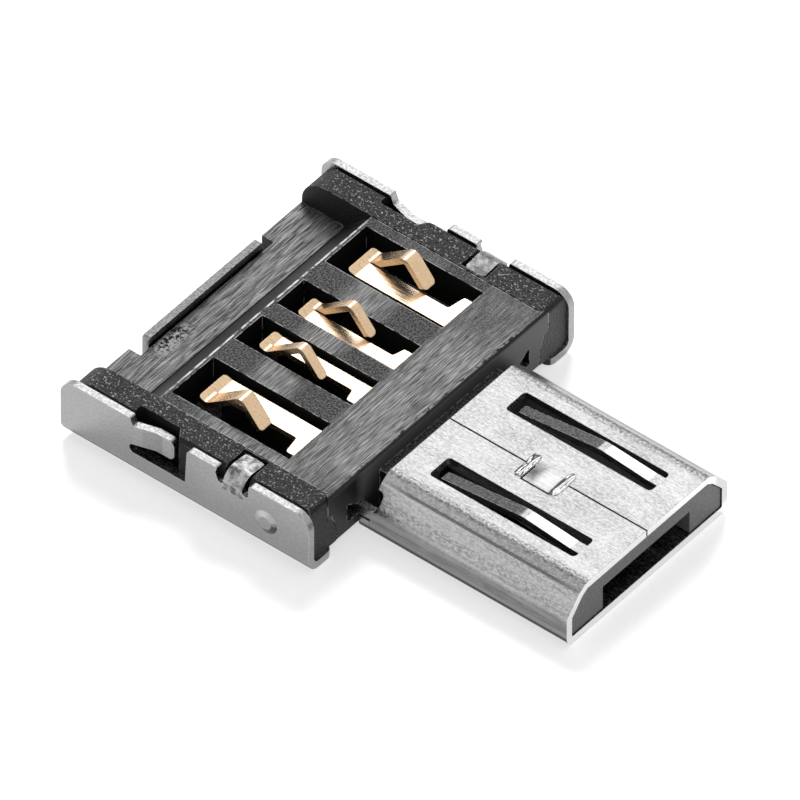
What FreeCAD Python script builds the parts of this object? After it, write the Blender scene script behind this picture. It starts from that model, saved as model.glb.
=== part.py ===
import FreeCAD, Part
import math
import os
from types import SimpleNamespace

import Sketcher

# A slim on-the-go adapter: a folded steel tray that carries a moulded slab with four gold
# contact springs, and folds over into a micro plug at the front. Millimetres. X = 0 is the
# front face of the slab, +X points to the plug's tip, Z = 0 is the flat underside.

SIZES = {
    # folded sheet
    "sheet_gauge": 0.23,
    "slab_width": 11.3,
    "slab_length": 8.48,
    "wing_height": 2.05,
    "wing_front": 0.12,
    "wing_bend": 0.45,
    "wing_rear_round": 0.5,
    "wing_heel_round": 0.4,
    "wing_front_round": 0.5,
    "floor_setback": 0.3,
    # side spring and the slit that frees it
    "spring_root": 5.97,
    "spring_tip": 4.7,
    "spring_top": 1.79,
    "spring_bottom": 1.12,
    "spring_set": 0.2,
    "spring_anchor": 0.1,
    "spring_bend_run": 0.67,
    "spring_bend_round": 0.3,
    "spring_tip_round": 0.2,
    "slit_back": 0.12,
    "slit_round": 0.13,
    "slit_bottom": 0.82,
    "slit_front": 4.165,
    "slit_lean": 0.065,
    # post, crimp tab and notches along the top of the wing
    "post_front": 3.05,
    "post_lean": 0.07,
    "post_drop": 0.21,
    "post_round": 0.12,
    "notch_bottom": 1.57,
    "notch_width": 0.21,
    "notch_lean": 0.04,
    "notch_round": 0.07,
    "corner_round": 0.1,
    "small_round": 0.05,
    "crimp_rear": 2.86,
    "crimp_width": 0.66,
    "crimp_reach": 1.03,
    "crimp_droop": 0.1,
    "crimp_bend": 0.46,
    "crimp_root": 0.15,
    "crimp_tip_round": 0.12,
    "dimple_back": 1.35,
    "dimple_height": 1.08,
    "dimple_radius": 0.38,
    "dimple_flat_radius": 0.21,
    "dimple_rise": 0.06,
    # lip at the rear of the floor
    "lip_width": 4.84,
    "lip_height": 1.33,
    "lip_setback": 0.18,
    "lip_bend": 0.28,
    "lip_root": 1.0,
    # micro plug shell
    "plug_length": 7.2,
    "plug_width": 6.85,
    "plug_height": 1.8,
    "plug_rear": 0.42,
    "plug_bend": 0.3,
    "plug_side_top": 1.02,
    "plug_side_round": 0.3,
    "plug_crease_drop": 0.2,
    "plug_roof_round": 0.27,
    "plug_top_width": 5.24,
    "side_rear": 0.66,
    "side_cut_top": 1.42,
    "side_cut_round": 0.15,
    "skirt_gap": 0.03,
    "skirt_top": 0.5,
    "tongue_length": 0.5,
    "tongue_bottom": 0.58,
    "tongue_top": 0.9,
    "neck_cut": 0.3,
    "neck_round": 0.3,
    "strip_inset": 1.05,
    "strip_round": 0.25,
    "seam_gap": 0.05,
    "key_rear": 3.36,
    "key_length": 0.9,
    "key_width": 0.58,
    # latch fingers in the plug's roof
    "slot_inner": 1.19,
    "slot_width": 0.86,
    "slot_rear": 1.33,
    "slot_setback": 0.87,
    "slot_round": 0.12,
    "finger_gap": 0.29,
    "finger_width": 0.37,
    "finger_taper": 0.05,
    "finger_end_gap": 0.23,
    "finger_knee_back": 1.98,
    "finger_rise": 0.15,
    "finger_drop": 0.2,
    "finger_root_run": 0.3,
    "finger_bow_round": 2.0,
    "finger_root_round": 1.0,
    # outer moulding
    "body_setback": 0.05,
    "rail_width": 0.9,
    "rail_top": 2.02,
    "rail_rear_round": 0.85,
    "rail_front_round": 0.25,
    "rail_edge": 0.12,
    "heel_gap": 0.03,
    "tray_floor": 0.22,
    "strip_top": 1.05,
    "lip_side_gap": 0.4,
    "lip_gap": 0.05,
    "relief_depth": 1.55,
    "relief_back": 0.19,
    "relief_gap": 0.17,
    "relief_slope": 0.3,
    "seat_gap": 0.04,
    "seat_room": 0.09,
    "bend_room": 0.27,
    "cheek_length": 0.25,
    "cheek_foot": 0.19,
    "cheek_middle": 0.15,
    "cheek_shoulder": 0.05,
    "cheek_middle_height": 0.81,
    "cheek_shoulder_height": 1.07,
    "cheek_top": 1.18,
    # contact block
    "block_top": 2.0,
    "block_gap": 0.02,
    "ramp_foot": 6.9,
    "ramp_head": 5.98,
    "ramp_foot_height": 1.02,
    "flange_flare": 0.2,
    "flange_bottom": 1.25,
    "front_bevel": 0.12,
    "window_rear": 5.86,
    "window_front": 1.8,
    "window_depth": 1.25,
    "inner_window": 0.3,
    "inner_window_width": 1.17,
    "outer_window_wall": 0.37,
    "outer_window_width": 1.76,
    "ledge_inset": 0.1,
    "ledge_setback": 0.3,
    "stub_width": 5.0,
    "stub_front": 0.95,
    "stub_bottom": 0.3,
    "stub_top": 1.5,
    "tongue_gap": 0.03,
    "nook_width": 0.45,
    "nook_toe": 0.2,
    "nook_top": 1.22,
    # contact springs
    "contact_gauge": 0.18,
    "base_sink": 0.18,
    "web_rear": 5.28,
    "web_curl": 0.08,
    "web_round": 0.12,
    "bend_line": 5.0,
    "bend_round": 0.2,
    "lance_gap": 0.03,
    "kink": 3.8,
    "kink_height": 2.74,
    "kink_round": 0.25,
    "paddle_end": 3.1,
    "paddle_height": 1.9,
    "paddle_round": 0.12,
    "foot_rear": 2.18,
    "foot_front": 1.5,
    "foot_slope": 0.1,
    "foot_round": 0.08,
    "outer_base_inset": 0.22,
    "outer_base_width": 0.63,
    "outer_arm_width": 0.5,
    "outer_foot_width": 0.08,
    "inner_base_inset": 0.15,
    "inner_base_width": 0.41,
    "inner_arm_width": 0.34,
    "inner_foot_width": 0.04,
    # their front ends inside the plug
    "pin_spacing": 0.65,
    "pin_width": 0.3,
    "fan_front": 0.85,
    "fan_run": 0.15,
    "fan_overlap": 0.1,
    "drop_front": 0.15,
    "drop_round": 0.25,
    "run_height": 1.36,
    "run_round": 0.3,
    "nose_root": 2.7,
    "nose_back_round": 2.0,
    "nose_setback": 1.3,
    "nose_round": 0.6,
    "nose_height": 0.98,
    "nose_length": 0.6,
    "nose_rise": 0.16,
    # plug insulator
    "insulator_gap": 0.03,
    "insulator_rear": 1.0,
    "insulator_recess": 0.04,
    "cavity_width": 3.7,
    "cavity_top": 1.06,
    "cavity_rear": 2.3,
    "groove_room": 0.06,
    "groove_overlap": 0.2,
    "groove_setback": 0.4,
    "finger_room": 0.25,
    "finger_side_room": 0.05,
    "finger_end_room": 0.1,
    # how far one piece of metal runs into the next one that it is joined to
    "overlap": 0.05,
}

doc = FreeCAD.newDocument("usb_otg_adapter")
sheet = doc.addObject("Spreadsheet::Sheet", "Sizes")
for row, (alias, number) in enumerate(SIZES.items(), start=1):
    sheet.set(f"A{row}", str(number))
    sheet.setAlias(f"A{row}", alias)
doc.recompute()


class Size:
    """A number that remembers the sheet expression it comes from."""

    def __init__(self, value, text):
        self.value = value
        self.text = text

    def __add__(self, other):
        other = as_size(other)
        return Size(self.value + other.value, f"({self.text} + {other.text})")

    def __sub__(self, other):
        other = as_size(other)
        return Size(self.value - other.value, f"({self.text} - {other.text})")

    def __mul__(self, factor):
        factor = as_size(factor)
        return Size(self.value * factor.value, f"({self.text} * {factor.text})")

    def __truediv__(self, factor):
        factor = as_size(factor)
        return Size(self.value / factor.value, f"({self.text} / {factor.text})")

    def __neg__(self):
        return Size(-self.value, f"(0 - {self.text})")


def as_size(number):
    return number if isinstance(number, Size) else Size(number, f"({number})")


size = SimpleNamespace(**{alias: Size(number, f"Sizes.{alias}") for alias, number in SIZES.items()})

PLANE_ROLES = {"XY": "XY_Plane", "XZ": "XZ_Plane", "YZ": "YZ_Plane"}
MARGIN = 1.0  # how far a cutting outline reaches past the metal it trims
CREASE_SHARE = 0.38  # where the plug's sloping shoulder breaks, between its roof and its side


def new_body(label):
    body = doc.addObject("PartDesign::Body", label)
    body.Label = label
    return body


def mirrored(corners):
    """The same outline on the other side of the plane's upright axis."""
    return [(-as_size(corner[0]), *corner[1:]) for corner in reversed(corners)]


def flipped(corners):
    """The same outline on the other side of the plane's level axis."""
    return [(corner[0], -as_size(corner[1]), *corner[2:]) for corner in reversed(corners)]


def rectangle(left, low, right, high, radius=None):
    corners = [(left, low), (right, low), (right, high), (left, high)]
    return [(*corner, radius) for corner in corners] if radius is not None else corners


def direction(start, end):
    across, up = end[0] - start[0], end[1] - start[1]
    length = math.hypot(across, up)
    return across / length, up / length


def offset_path(path, distance, closed=False):
    """Points beside a path, to its right for a positive distance."""
    path = [tuple(as_size(part) for part in point) for point in path]
    spots = [(point[0].value, point[1].value) for point in path]
    ways = [direction(spots[index - 1], spots[index]) for index in range(len(path))]
    if not closed:
        ways[0] = ways[1]
        ways.append(ways[-1])
    else:
        ways.append(ways[0])
    moved = []
    for point, before, after in zip(path, ways, ways[1:]):
        across, up = before[1] + after[1], -before[0] - after[0]
        scale = 2 / (across * across + up * up)
        spot = point[0] + distance * (across * scale), point[1] + distance * (up * scale)
        turn = before[0] * after[1] - before[1] * after[0]
        radius = [part + distance if turn > 0 else part - distance for part in point[2:]]
        moved.append((*spot, *[part for part in radius if part.value > 0.02]))
    return moved


def strip(path, gauge):
    """Closed outline of a bent strip of sheet that lies to the right of a path."""
    return path + list(reversed(offset_path(path, gauge)))


class Outline:
    """Adds one closed outline with sharp or rounded corners to a sketch."""

    def __init__(self, sketch, corners):
        self.sketch = sketch
        self.corners = [tuple(as_size(part) for part in corner) for corner in corners]
        self.spots = [(corner[0].value, corner[1].value) for corner in self.corners]
        self.constraints = []
        self.bound = []

    def draw(self):
        count = len(self.corners)
        ends = [self.corner_ends(index) for index in range(count)]
        first = self.sketch.GeometryCount
        lines = [Part.LineSegment(flat(ends[index][1]), flat(ends[(index + 1) % count][0]))
                 for index in range(count)]
        self.sketch.addGeometry(lines, False)
        for index, corner in enumerate(self.corners):
            line_in, line_out = first + (index - 1) % count, first + index
            if len(corner) == 3:
                self.round_corner(index, line_in, line_out)
            else:
                self.constraints.append(Sketcher.Constraint("Coincident", line_in, 2, line_out, 1))
                self.place(line_out, 1, corner)
        added = self.sketch.ConstraintCount
        self.sketch.addConstraint(self.constraints)
        for index, text in self.bound:
            self.sketch.setExpression(f"Constraints[{added + index}]", text)

    def corner_ends(self, index):
        """Where the straight sides stop at a corner."""
        spot, corner = self.spots[index], self.corners[index]
        if len(corner) < 3:
            return spot, spot
        back, ahead, half = self.corner_turn(index)
        trim = corner[2].value / math.tan(half)
        return along(spot, back, trim), along(spot, ahead, trim)

    def corner_turn(self, index):
        spot = self.spots[index]
        back = direction(spot, self.spots[index - 1])
        ahead = direction(spot, self.spots[(index + 1) % len(self.spots)])
        dot = max(-1.0, min(1.0, back[0] * ahead[0] + back[1] * ahead[1]))
        return back, ahead, math.acos(dot) / 2

    def round_corner(self, index, line_in, line_out):
        spot, corner = self.spots[index], self.corners[index]
        back, ahead, half = self.corner_turn(index)
        start, end = self.corner_ends(index)
        middle = direction((0, 0), (back[0] + ahead[0], back[1] + ahead[1]))
        centre = along(spot, middle, corner[2].value / math.sin(half))
        angles = [math.atan2(point[1] - centre[1], point[0] - centre[0]) for point in (start, end)]
        turns_left = back[0] * ahead[1] - back[1] * ahead[0] < 0
        if not turns_left:
            angles.reverse()
        circle = Part.Circle(flat(centre), FreeCAD.Vector(0, 0, 1), corner[2].value)
        arc = self.sketch.addGeometry(Part.ArcOfCircle(circle, *angles), False)
        tip = self.sketch.addGeometry(Part.Point(flat(spot)), True)
        arc_in, arc_out = (1, 2) if turns_left else (2, 1)
        self.constraints += [
            Sketcher.Constraint("Tangent", line_in, 2, arc, arc_in),
            Sketcher.Constraint("Tangent", arc, arc_out, line_out, 1),
            Sketcher.Constraint("PointOnObject", tip, 1, line_in),
            Sketcher.Constraint("PointOnObject", tip, 1, line_out),
        ]
        self.place(tip, 1, corner)
        self.bind(Sketcher.Constraint("Radius", arc, corner[2].value), corner[2])

    def place(self, item, end, corner):
        for kind, amount in (("DistanceX", corner[0]), ("DistanceY", corner[1])):
            self.bind(Sketcher.Constraint(kind, -1, 1, item, end, amount.value), amount)

    def bind(self, constraint, amount):
        self.bound.append((len(self.constraints), amount.text))
        self.constraints.append(constraint)


def flat(spot):
    return FreeCAD.Vector(spot[0], spot[1], 0)


def along(spot, way, distance):
    return spot[0] + way[0] * distance, spot[1] + way[1] * distance


def new_sketch(body, name, plane, level):
    """A sketch parallel to one of the body's planes, at a level along that plane's normal."""
    sketch = body.newObject("Sketcher::SketchObject", name)
    role = PLANE_ROLES[plane]
    support = next(item for item in body.Origin.OriginFeatures if item.Role == role)
    sketch.AttachmentSupport = [(support, "")]
    sketch.MapMode = "FlatFace"
    sketch.AttachmentOffset = FreeCAD.Placement(FreeCAD.Vector(0, 0, level.value), FreeCAD.Rotation())
    sketch.setExpression("AttachmentOffset.Base.z", level.text)
    return sketch


def extrude(kind, body, name, plane, outlines, low, high):
    low, high = as_size(low), as_size(high)
    # A sketch on XZ faces -Y, and a pocket runs against its sketch.
    starts_high = (plane == "XZ") != (kind == "PartDesign::Pocket")
    level = high if starts_high else low
    sketch = new_sketch(body, name + "_outline", plane, -level if plane == "XZ" else level)
    for corners in outlines:
        Outline(sketch, corners).draw()
    feature = body.newObject(kind, name)
    feature.Profile = sketch
    length = high - low
    feature.Length = length.value
    feature.setExpression("Length", length.text)
    return feature


def pad(body, name, plane, outlines, low, high):
    return extrude("PartDesign::Pad", body, name, plane, outlines, low, high)


def cut(body, name, plane, outlines, low, high):
    return extrude("PartDesign::Pocket", body, name, plane, outlines, low, high)


def round_edges(body, name, radius, chosen):
    """Fillets the edges that a test on their two ends picks."""
    doc.recompute()
    base = body.Tip
    edges = [f"Edge{number}" for number, edge in enumerate(base.Shape.Edges, start=1)
             if len(edge.Vertexes) == 2 and chosen(edge.Vertexes[0].Point, edge.Vertexes[1].Point)]
    feature = body.newObject("PartDesign::Fillet", name)
    feature.Base = (base, edges)
    feature.Radius = radius.value
    feature.setExpression("Radius", radius.text)
    return feature


def near(first, second):
    return abs(first - as_size(second).value) < 0.001


half_slab = size.slab_width / 2
wing_inside = half_slab - size.sheet_gauge
rail_inner = wing_inside - size.rail_width
block_half = rail_inner - size.block_gap
half_plug = size.plug_width / 2
neck_half = half_plug - size.plug_bend
rear = -size.slab_length
floor_top = size.sheet_gauge + size.tray_floor
lip_face = rear + size.lip_setback
slot_front = size.plug_length - size.slot_setback
apron_half = rail_inner - size.cheek_foot - size.block_gap
outer_window = block_half - size.outer_window_wall - size.outer_window_width
outer_spring = SimpleNamespace(
    base=outer_window + size.outer_base_inset, base_width=size.outer_base_width,
    arm_width=size.outer_arm_width, foot_width=size.outer_foot_width)
inner_spring = SimpleNamespace(
    base=size.inner_window + size.inner_base_inset, base_width=size.inner_base_width,
    arm_width=size.inner_arm_width, foot_width=size.inner_foot_width)
pin_row = [size.pin_spacing * place for place in range(-2, 3)]


def make_metal_shell():
    """The one sheet: tray with folded wings, rear lip and the plug's closed tube."""
    body = new_body("metal_shell")
    gauge, top = size.sheet_gauge, size.wing_height
    inner_bend = size.wing_bend - gauge
    section = [
        (-half_slab, 0, size.wing_bend), (half_slab, 0, size.wing_bend), (half_slab, top + MARGIN),
        (wing_inside, top + MARGIN), (wing_inside, gauge, inner_bend),
        (-wing_inside, gauge, inner_bend), (-wing_inside, top + MARGIN), (-half_slab, top + MARGIN),
    ]
    pad(body, "folded_tray", "YZ", [section], rear - MARGIN, size.wing_front + MARGIN)
    frame = rectangle(rear - 2 * MARGIN, -MARGIN, size.wing_front + 2 * MARGIN, top + 2 * MARGIN)
    cut(body, "wing_trim", "XZ", [frame, wing_outline()], -half_slab - MARGIN, half_slab + MARGIN)
    trim_floor(body)
    for side in (-1, 1):
        add_side_spring(body, side)
        add_crimp_tab(body, side)
        add_dimple(body, side)
    add_lip(body)
    add_plug(body)
    return body


def wing_outline():
    """Side view of a wing, from its heel forward and back along its notched top."""
    top, notch = size.wing_height, size.notch_bottom
    corner, small, dip = size.corner_round, size.small_round, size.notch_round
    crimp_front = -size.crimp_rear + size.crimp_width
    notch_front = crimp_front + size.notch_width
    slit_rear = -size.spring_root - size.slit_back
    return [
        (rear, 0, size.wing_heel_round), (size.wing_front, 0),
        (size.wing_front, top, size.wing_front_round), (notch_front + size.notch_lean, top, corner),
        (notch_front, notch, dip), (crimp_front, notch, dip), (crimp_front, notch + size.crimp_root),
        (-size.crimp_rear, notch + size.crimp_root), (-size.crimp_rear, notch, small),
        (-size.post_front + size.notch_lean, notch, small),
        (-size.post_front - size.post_lean, top - size.post_drop, corner),
        (-size.post_front, top, small), (-size.slit_front + size.slit_lean, top, size.post_round),
        (-size.slit_front, size.slit_bottom, small), (slit_rear, size.slit_bottom, size.slit_round),
        (slit_rear, size.spring_bottom, size.slit_round), (-size.spring_root, size.spring_bottom),
        (-size.spring_root, size.spring_top), (-size.spring_root - corner, top, small),
        (rear, top, size.wing_rear_round),
    ]


def trim_floor(body):
    """Frees the floor's rear edge and cuts a corner away on each side of the neck."""
    floor_side = half_slab - size.wing_bend
    strip_end = half_slab - size.strip_inset
    back = rectangle(rear - MARGIN, -floor_side, rear + size.floor_setback, floor_side)
    front_end = size.wing_front
    front = [
        (-size.neck_cut, neck_half, size.neck_round), (MARGIN, neck_half),
        (MARGIN, strip_end + size.strip_round * 2), (front_end, strip_end + size.strip_round * 2),
        (front_end, strip_end, size.strip_round), (-size.neck_cut, strip_end, size.corner_round),
    ]
    cut(body, "floor_trim", "XY", [back, front, flipped(front)], -MARGIN,
        size.sheet_gauge + size.overlap)


def add_side_spring(body, side):
    """Tongue of the wing pressed inward, free at its front end."""
    root, tip = -size.spring_root, -size.spring_tip
    face = half_slab - size.spring_set
    bend = size.spring_bend_round
    path = [
        (root - size.spring_anchor, half_slab), (root, half_slab, bend),
        (root + size.spring_bend_run, face, bend), (tip, face),
    ]
    outline = strip(path, size.sheet_gauge)
    outline = flipped(outline) if side < 0 else outline
    name = "spring_right" if side < 0 else "spring_left"
    pad(body, name, "XY", [outline], size.spring_bottom, size.spring_top)
    round_edges(body, name + "_tip", size.spring_tip_round, lambda start, end: (
        near(start.x, tip) and near(end.x, tip) and near(start.z, end.z) and start.y * side > 0))


def add_crimp_tab(body, side):
    """Tab of the wing bent over the rail that it holds down."""
    end = half_slab - size.crimp_reach
    top = size.wing_height
    low, high = -size.crimp_rear, size.crimp_width - size.crimp_rear
    path = [
        (end, top - size.crimp_droop), (half_slab, top, size.crimp_bend),
        (half_slab, size.notch_bottom),
    ]
    outline = strip(path, size.sheet_gauge)
    outline = mirrored(outline) if side < 0 else outline
    name = "crimp_right" if side < 0 else "crimp_left"
    pad(body, name, "YZ", [outline], low, high)
    corner = size.crimp_tip_round
    around = [
        (low - MARGIN, end - MARGIN), (high + MARGIN, end - MARGIN),
        (high + MARGIN, end + corner * 2), (high, end + corner * 2), (high, end, corner),
        (low, end, corner), (low, end + corner * 2), (low - MARGIN, end + corner * 2),
    ]
    underside = top - size.crimp_droop - size.sheet_gauge - size.overlap
    cut(body, name + "_end", "XY", [flipped(around) if side < 0 else around], underside, top + MARGIN)


def add_dimple(body, side):
    """Round bump with sloping sides, pressed outward in the wing's front section."""
    cone = body.newObject("PartDesign::AdditiveCone", "dimple_right" if side < 0 else "dimple_left")
    support = next(item for item in body.Origin.OriginFeatures if item.Role == "XZ_Plane")
    cone.AttachmentSupport = [(support, "")]
    cone.MapMode = "FlatFace"
    foot, flat_top = size.dimple_radius, size.dimple_flat_radius
    radii = (flat_top, foot) if side > 0 else (foot, flat_top)
    # The plane faces -Y, so on the left wing the cone is built from its flat top inward.
    level = -half_slab - size.dimple_rise if side > 0 else half_slab
    bound = {
        "Radius1": radii[0], "Radius2": radii[1], "Height": size.dimple_rise,
        "AttachmentOffset.Base.x": -size.dimple_back, "AttachmentOffset.Base.y": size.dimple_height,
        "AttachmentOffset.Base.z": level,
    }
    for name, amount in bound.items():
        cone.setExpression(name, amount.text)


def add_lip(body):
    side = size.lip_width / 2
    path = [
        (lip_face, size.lip_height), (lip_face, 0, size.lip_bend), (lip_face + size.lip_root, 0),
    ]
    pad(body, "lip", "XZ", [strip(path, -size.sheet_gauge)], -side, side)
    round_edges(body, "lip_corners", size.corner_round, lambda start, end: (
        near(start.z, size.lip_height) and near(end.z, size.lip_height)
        and near(abs(start.y), side) and near(start.y, end.y)))


def plug_section():
    """Half-hexagon section of the micro plug's tube."""
    roof = size.plug_top_width / 2
    crease = roof + (half_plug - roof) * CREASE_SHARE
    right = [
        (half_plug, 0, size.plug_bend), (half_plug, size.plug_side_top, size.plug_side_round),
        (crease, size.plug_height - size.plug_crease_drop, size.plug_side_round),
        (roof, size.plug_height, size.plug_roof_round),
    ]
    return right + mirrored(right)


def add_plug(body):
    """Tube with a keyed seam and two latch fingers, joined to the floor by a short neck."""
    gauge, roof, back = size.sheet_gauge, size.plug_height, size.plug_rear
    section = plug_section()
    inside = offset_path(section, -gauge, closed=True)
    pad(body, "plug_tube", "YZ", [section, inside], back, size.plug_length)
    pad(body, "plug_neck", "XY", [rectangle(-size.neck_cut, -neck_half, back, neck_half)], 0, gauge)
    add_plug_sides(body)
    under_roof = roof - gauge - size.overlap
    key_front = size.key_rear + size.key_length
    seam = [
        (back - MARGIN, 0), (size.key_rear, 0), (size.key_rear, -size.key_width),
        (key_front, -size.key_width), (key_front, 0), (size.plug_length + MARGIN, 0),
    ]
    cut(body, "seam", "XY", [strip(seam, size.seam_gap)], under_roof, roof + MARGIN)
    slot = rectangle(size.slot_rear, size.slot_inner, slot_front, size.slot_inner + size.slot_width,
                     size.slot_round)
    cut(body, "latch_slots", "XY", [slot, flipped(slot)], under_roof, roof + MARGIN)
    for side in (-1, 1):
        add_latch_finger(body, side)


def add_plug_sides(body):
    """Skirt, curved rear edge and a tongue into the slab, at each side of the tube's rear."""
    gauge, back = size.sheet_gauge, size.plug_rear
    wrap = [
        (-half_plug, size.skirt_top), (-half_plug, 0, size.plug_bend),
        (half_plug, 0, size.plug_bend), (half_plug, size.skirt_top),
    ]
    pad(body, "skirt", "YZ", [strip(wrap, -gauge)], size.skirt_gap, back)
    curve = [
        (back - MARGIN, size.tongue_top), (size.side_rear, size.tongue_top, size.side_cut_round),
        (size.side_rear, size.side_cut_top, size.side_cut_round),
        (back - MARGIN, size.side_cut_top),
    ]
    cut(body, "side_cut", "XZ", [curve], -half_plug - MARGIN, half_plug + MARGIN)
    tongue = rectangle(-size.tongue_length, size.tongue_bottom, back, size.tongue_top)
    for side in (-1, 1):
        low, high = (half_plug - gauge, half_plug) if side > 0 else (-half_plug, gauge - half_plug)
        pad(body, "tongue_right" if side < 0 else "tongue_left", "XZ", [tongue], low, high)


def add_latch_finger(body, side):
    """Springy strip cut out of the roof, bowed upward over its knee."""
    name = "finger_right" if side < 0 else "finger_left"
    roof, tip = size.plug_height, size.slot_rear + size.finger_end_gap
    inner = size.slot_inner + size.finger_gap
    outer = inner + size.finger_width
    path = [
        (tip, roof - size.finger_drop),
        (slot_front - size.finger_knee_back, roof + size.finger_rise, size.finger_bow_round),
        (slot_front - size.finger_root_run, roof, size.finger_root_round),
        (slot_front + size.overlap, roof),
    ]
    low, high = (inner, outer) if side > 0 else (-outer, -inner)
    pad(body, name, "XZ", [strip(path, size.sheet_gauge)], low, high)
    wedge = [
        (tip - size.overlap, outer - size.finger_taper), (slot_front, outer),
        (tip - size.overlap, outer + size.overlap),
    ]
    wedge = flipped(wedge) if side < 0 else wedge
    under_finger = roof - size.finger_drop - size.sheet_gauge - size.overlap
    cut(body, name + "_taper", "XY", [wedge], under_finger, roof + MARGIN)


def make_carrier():
    """Outer moulding: tray floor, two rails and the low strip at the rear."""
    body = new_body("carrier")
    gauge, top, inner = size.sheet_gauge, size.rail_top, rail_inner
    back = rear + size.body_setback
    heel = size.wing_bend - gauge + size.heel_gap
    section = [
        (-wing_inside, gauge, heel), (wing_inside, gauge, heel),
        (wing_inside, top - size.rail_edge), (wing_inside - size.rail_edge, top), (inner, top),
        (inner, floor_top), (-inner, floor_top), (-inner, top),
        (size.rail_edge - wing_inside, top), (-wing_inside, top - size.rail_edge),
    ]
    pad(body, "channel", "YZ", [section], back, 0)
    pad(body, "rear_strip", "XY", [rectangle(back, -inner, -size.ramp_foot, inner)], floor_top,
        size.strip_top)
    pad(body, "cheeks", "YZ", [cheek(0), mirrored(cheek(0))], -size.cheek_length, 0)
    step = size.lip_width / 2 + size.lip_side_gap
    notch_front = lip_face + gauge + size.lip_gap
    cut(body, "strip_notch", "XY", [rectangle(rear - MARGIN, -step, notch_front, step)], -MARGIN, top)
    cut_spring_reliefs(body)
    cut_crimp_seats(body)
    cut(body, "flange_seat", "XY", [flange_outline(size.block_gap)], size.flange_bottom, top + MARGIN)
    apron = apron_half + size.block_gap
    cut(body, "apron_seat", "XY", [rectangle(-size.cheek_length, -apron, MARGIN, apron)], 0,
        floor_top)
    rounding = [
        (back - MARGIN, size.strip_top), (back, size.strip_top), (back, top, size.rail_rear_round),
        (back + MARGIN, top), (back + MARGIN, top + MARGIN), (back - MARGIN, top + MARGIN),
    ]
    cut(body, "rail_rear", "XZ", [rounding], -half_slab, half_slab)
    round_edges(body, "rail_front", size.rail_front_round, lambda start, end: (
        near(start.x, 0) and near(end.x, 0) and near(start.z, top) and near(end.z, top)))
    return body


def cut_spring_reliefs(body):
    """Room beside each rail for the side spring to be pressed inward."""
    root, tip, top = -size.spring_root, -size.spring_tip, size.rail_top
    bottom = half_slab - size.spring_set - size.sheet_gauge - size.relief_gap
    relief = [
        (root - size.relief_back, half_slab), (root - size.relief_back, bottom, size.corner_round),
        (tip - size.corner_round, bottom, size.corner_round), (tip + size.relief_slope, half_slab),
    ]
    cut(body, "spring_relief", "XY", [relief, flipped(relief)], top - size.relief_depth, top + MARGIN)


def cut_crimp_seats(body):
    """Shallow seats that the crimp tabs lie in, with room for their bends."""
    top = size.rail_top
    seat_floor = size.wing_height - size.crimp_droop - size.sheet_gauge - size.seat_gap
    low, high = -size.crimp_rear - size.seat_room, size.crimp_width - size.crimp_rear + size.seat_room
    seat = rectangle(low, half_slab - size.crimp_reach - size.seat_gap, high, half_slab)
    cut(body, "crimp_seats", "XY", [seat, flipped(seat)], seat_floor, top + MARGIN)
    room = rectangle(low, wing_inside - size.bend_room, high, half_slab)
    cut(body, "crimp_bend_room", "XY", [room, flipped(room)], size.notch_bottom - size.overlap,
        top)


def cheek(gap):
    """Front view of a rail's swelling that the block narrows for, grown by a gap."""
    wall = rail_inner + size.overlap
    return [
        (wall, floor_top - size.overlap), (apron_half + size.block_gap - gap, floor_top - size.overlap),
        (rail_inner - size.cheek_middle - gap, size.cheek_middle_height),
        (rail_inner - size.cheek_shoulder - gap, size.cheek_shoulder_height),
        (wall, size.cheek_top + gap),
    ]


def flange_outline(gap):
    """Plan of the block's flared front edge, grown by a gap."""
    gap = as_size(gap)
    side = block_half + gap
    flare = size.flange_flare
    return [(-flare, -side), (MARGIN, -side - flare - MARGIN), (MARGIN, side + flare + MARGIN),
            (-flare, side)] if gap.value else [
        (-flare, -side), (0, -side - flare), (0, side + flare), (-flare, side)]


def make_contact_block():
    """Inner moulding with four windows, a ramp behind them and a stub into the plug."""
    body = new_body("contact_block_moulding")
    top, gap = size.block_top, size.block_gap
    profile = [
        (-size.ramp_foot, floor_top), (0, floor_top), (0, top), (-size.ramp_head, top),
        (-size.ramp_foot, size.ramp_foot_height),
    ]
    pad(body, "block", "XZ", [profile], -block_half, block_half)
    pad(body, "flange", "XY", [flange_outline(0)], size.flange_bottom, top)
    cut(body, "cheek_seats", "YZ", [cheek(gap), mirrored(cheek(gap))], -size.cheek_length - gap,
        MARGIN)
    apron = rectangle(gap - size.cheek_length, -apron_half, 0, apron_half)
    pad(body, "apron", "XY", [apron], size.sheet_gauge + gap, floor_top + size.overlap)
    floor = top - size.window_depth
    ledge_top = top - size.base_sink - size.contact_gauge
    for name, inner, width in (("inner", size.inner_window, size.inner_window_width),
                               ("outer", outer_window, size.outer_window_width)):
        window = rectangle(-size.window_rear, inner, -size.window_front, inner + width)
        cut(body, name + "_windows", "XY", [window, flipped(window)], floor, top + MARGIN)
    for name, base, width in (("inner", inner_spring.base, size.inner_base_width),
                              ("outer", outer_spring.base, size.outer_base_width)):
        ledge = rectangle(size.ledge_setback - size.web_rear, base + size.ledge_inset,
                          size.overlap - size.window_front, base + width - size.ledge_inset)
        pad(body, name + "_ledges", "XY", [ledge, flipped(ledge)], floor, ledge_top)
    cut_nooks(body)
    stub = rectangle(-size.stub_width / 2, size.stub_bottom, size.stub_width / 2, size.stub_top)
    pad(body, "stub", "YZ", [stub], 0, size.stub_front)
    round_edges(body, "front_bevel", size.front_bevel, lambda start, end: (
        near(start.x, 0) and near(end.x, 0) and near(start.z, top) and near(end.z, top)))
    return body


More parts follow.
